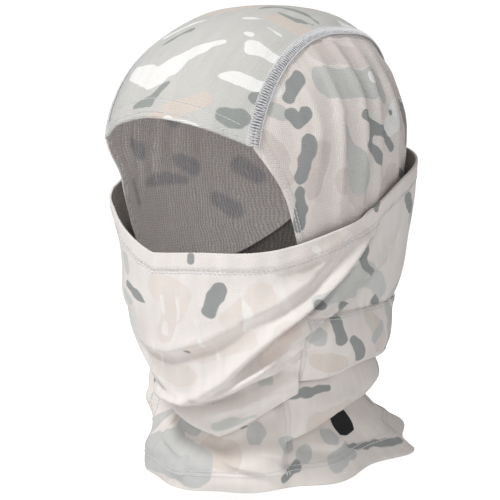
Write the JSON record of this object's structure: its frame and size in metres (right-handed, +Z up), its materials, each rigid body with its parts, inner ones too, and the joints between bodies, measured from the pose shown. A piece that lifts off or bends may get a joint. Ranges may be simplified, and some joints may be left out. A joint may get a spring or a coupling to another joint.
{
  "type": "balaclava face mask",
  "caption": "Camouflage knit balaclava: panelled hood with an eye opening, pull-up mask, folded collar and flared neck skirt.",
  "frame": {"origin": "middle of the crown panel's inner face, where it rests on the top of the head", "axes": "+Z up, -Y the way the wearer looks, +X the wearer's left"},
  "size_m": [0.163, 0.2175, 0.282],
  "materials": {
    "camo_crown": "matt printed stretch knit, mostly grey-green",
    "camo_side": "matt printed eyelet knit, beige and white",
    "camo_mask": "matt printed stretch knit, mostly white",
    "camo_neck": "matt printed stretch knit, white and beige",
    "thread": "pale polyester sewing thread",
    "ink": "black heat-pressed print",
    "label": "blank woven satin label"
  },
  "bodies": {
    "collar": {"rear_band": "camo_mask", "rear_band_hem_stitch": "thread", "chin_panel": "camo_mask", "nape_panel": "camo_neck", "nape_seam_stitch": "thread", "left_neck_seam": "thread", "right_neck_seam": "thread"},
    "hood": {"crown_panel": "camo_crown", "left_side_panel": "camo_side", "right_side_panel": "camo_side", "left_crown_seam": "thread", "right_crown_seam": "thread", "brow_stitch": "thread"},
    "mask": {"mask_panel": "camo_mask", "mask_hem_stitch": "thread"},
    "skirt": {"skirt_front": "camo_neck", "skirt_back": "camo_neck", "skirt_hem_stitch": "thread", "left_skirt_seam": "thread", "right_skirt_seam": "thread", "printed_mark": "ink", "care_label": "label"}
  },
  "joints": [
    {"name": "mask_pull_down", "type": "hinge", "parent": "collar", "child": "mask", "pos_m": [0, 0.088, -0.2128], "axis": [1, 0, 0], "range_deg": [0, 18]},
    {"name": "brow_pull_down", "type": "hinge", "parent": "collar", "child": "hood", "pos_m": [0, 0, -0.1108], "axis": [1, 0, 0], "range_deg": [0, 10]},
    {"name": "skirt_draw_down", "type": "slide", "parent": "collar", "child": "skirt", "axis": [0, 0, -1], "range_m": [0, 0.03]}
  ]
}
